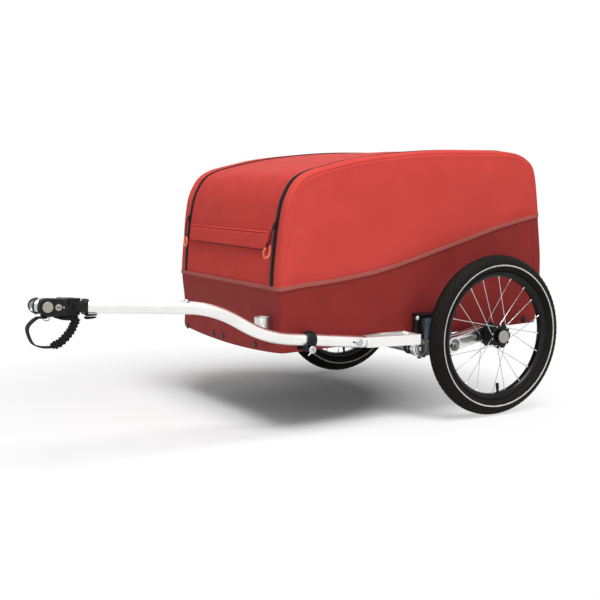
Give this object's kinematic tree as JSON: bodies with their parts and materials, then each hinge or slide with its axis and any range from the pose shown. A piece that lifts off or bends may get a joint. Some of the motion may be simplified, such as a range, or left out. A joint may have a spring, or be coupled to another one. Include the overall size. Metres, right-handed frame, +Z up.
{
  "type": "bicycle cargo trailer",
  "caption": "Cargo trailer for a bicycle: a zipped fabric box on an aluminium frame, spoked wheels on sprung swing arms, and a side drawbar that ends in a quick hitch.",
  "frame": {"origin": "on the ground, under the middle of the trailer's length and width", "axes": "+X forwards to the hitch, +Y to the trailer's left, where the drawbar is, +Z up"},
  "size_m": [1.3808, 0.7782, 0.6549],
  "materials": {
    "tyre": "black rubber tyre with a reflective stripe on its side",
    "wheel_black": "black anodised rim and hub",
    "frame_silver": "satin bare aluminium",
    "steel": "turned steel",
    "button_grey": "warm grey, slightly metallic",
    "pad": "blue-grey elastomer",
    "bracket_black": "black powder coat",
    "floor": "dark grey board",
    "upper_fabric": "red coated cloth",
    "front_fabric": "red coated cloth, front and lid",
    "lower_fabric": "dark red heavy cloth",
    "band": "dusty pink-brown binding",
    "web": "black webbing and zip tape",
    "pull": "black cord with an orange-red sleeve",
    "black_plastic": "black moulded plastic"
  },
  "bodies": {
    "trailer": {"left_pad": "pad", "left_pad_bracket": "bracket_black", "left_side_rail": "frame_silver", "left_hoop": "frame_silver", "left_lower_side_panel": "lower_fabric", "left_upper_side_panel": "upper_fabric", "left_zip": "web", "right_pad": "pad", "right_pad_bracket": "bracket_black", "right_side_rail": "frame_silver", "right_hoop": "frame_silver", "right_lower_side_panel": "lower_fabric", "right_upper_side_panel": "upper_fabric", "right_zip": "web", "cross_tube": "frame_silver", "front_cross_member": "frame_silver", "rear_cross_member": "frame_silver", "floor_panel": "floor", "front_stay": "frame_silver", "rear_stay": "frame_silver", "outrigger": "frame_silver", "drawbar_clamp": "bracket_black", "front_socket": "frame_silver", "lower_front_panel": "lower_fabric", "lower_rear_panel": "lower_fabric", "upper_rear_panel": "upper_fabric", "trim_band": "band", "drawbar": "frame_silver", "drawbar_knuckle": "bracket_black", "cross_pin": "steel"},
    "lid": {"lid": "front_fabric"},
    "handle_flap": {"handle_flap": "front_fabric"},
    "clamp_knob": {"clamp_knob": "steel"},
    "locking_pin": {"locking_pin": "steel"},
    "hitch_swivel": {"swivel_block": "steel"},
    "hitch_head": {"yaw_stud": "steel", "hitch_housing": "black_plastic", "hitch_socket": "frame_silver", "mouth_ring": "black_plastic", "safety_strap": "web", "strap_tail": "web"},
    "hitch_button": {"hitch_button": "button_grey"},
    "key_lock": {"key_lock": "steel"},
    "left_arm": {"left_swing_arm": "frame_silver", "left_axle": "steel"},
    "left_wheel": {"left_tyre": "tyre", "left_rim": "wheel_black", "left_hub": "wheel_black"},
    "left_release": {"left_release_button": "button_grey"},
    "left_slider": {"left_slider": "black_plastic"},
    "left_pull": {"left_pull": "pull"},
    "right_arm": {"right_swing_arm": "frame_silver", "right_axle": "steel"},
    "right_wheel": {"right_tyre": "tyre", "right_rim": "wheel_black", "right_hub": "wheel_black"},
    "right_release": {"right_release_button": "button_grey"},
    "right_slider": {"right_slider": "black_plastic"},
    "right_pull": {"right_pull": "pull"}
  },
  "joints": [
    {"name": "left_suspension", "type": "hinge", "parent": "trailer", "child": "left_arm", "pos_m": [-0.26443, 0.301, 0.177], "axis": [0, 1, 0], "range_deg": [0, 10], "stiffness_Nm_per_rad": 250, "springref_deg": -4.58, "deforming": ["left_pad"]},
    {"name": "left_wheel_spin", "type": "hinge", "parent": "left_arm", "child": "left_wheel", "pos_m": [-0.46743, 0.353, 0.2], "axis": [0, 1, 0], "continuous": true},
    {"name": "left_release_press", "type": "slide", "parent": "left_arm", "child": "left_release", "axis": [0, -1, 0], "range_m": [0, 0.0025], "stiffness_N_per_m": 400, "springref_m": -0.002},
    {"name": "right_suspension", "type": "hinge", "parent": "trailer", "child": "right_arm", "pos_m": [-0.26443, -0.301, 0.177], "axis": [0, 1, 0], "range_deg": [0, 10], "stiffness_Nm_per_rad": 250, "springref_deg": -4.58, "deforming": ["right_pad"]},
    {"name": "right_wheel_spin", "type": "hinge", "parent": "right_arm", "child": "right_wheel", "pos_m": [-0.46743, -0.353, 0.2], "axis": [0, 1, 0], "continuous": true},
    {"name": "right_release_press", "type": "slide", "parent": "right_arm", "child": "right_release", "axis": [0, 1, 0], "range_m": [0, 0.0025], "stiffness_N_per_m": 400, "springref_m": -0.002},
    {"name": "lid_swing", "type": "hinge", "parent": "trailer", "child": "lid", "pos_m": [-0.57743, 0, 0.6497], "axis": [0, -1, 0], "range_deg": [0, 100]},
    {"name": "handle_flap_swing", "type": "hinge", "parent": "lid", "child": "handle_flap", "pos_m": [0.08797, 0, 0.466], "axis": [0, -1, 0], "range_deg": [0, 100]},
    {"name": "left_zip_slide", "type": "slide", "parent": "trailer", "child": "left_slider", "axis": [-0.1656, 0, 0.9862], "range_m": [-0.06, 0.04]},
    {"name": "left_pull_swing", "type": "hinge", "parent": "left_slider", "child": "left_pull", "pos_m": [0.09326, 0.232, 0.48132], "axis": [0, -1, 0], "range_deg": [0, 90]},
    {"name": "right_zip_slide", "type": "slide", "parent": "trailer", "child": "right_slider", "axis": [-0.1656, 0, 0.9862], "range_m": [-0.06, 0.04]},
    {"name": "right_pull_swing", "type": "hinge", "parent": "right_slider", "child": "right_pull", "pos_m": [0.09326, -0.232, 0.48132], "axis": [0, -1, 0], "range_deg": [0, 90]},
    {"name": "clamp_knob_turn", "type": "hinge", "parent": "trailer", "child": "clamp_knob", "pos_m": [0.04277, 0.312, 0.20169], "axis": [0, 1, 0], "range_deg": [0, 180]},
    {"name": "locking_pin_pull", "type": "slide", "parent": "trailer", "child": "locking_pin", "axis": [0, 1, 0], "range_m": [0, 0.034]},
    {"name": "hitch_pitch", "type": "hinge", "parent": "trailer", "child": "hitch_swivel", "pos_m": [0.58951, 0.302, 0.33397], "axis": [0, 1, 0], "range_deg": [-20, 20]},
    {"name": "hitch_yaw", "type": "hinge", "parent": "hitch_swivel", "child": "hitch_head", "pos_m": [0.58951, 0.302, 0.33397], "axis": [-0.076, 0, 0.9971], "range_deg": [-45, 45]},
    {"name": "hitch_button_press", "type": "slide", "parent": "hitch_head", "child": "hitch_button", "axis": [0, -1, 0], "range_m": [0, 0.002], "stiffness_N_per_m": 500, "springref_m": -0.002},
    {"name": "key_lock_turn", "type": "hinge", "parent": "hitch_head", "child": "key_lock", "pos_m": [0.63238, 0.3253, 0.33724], "axis": [0, 1, 0], "range_deg": [0, 90]}
  ]
}
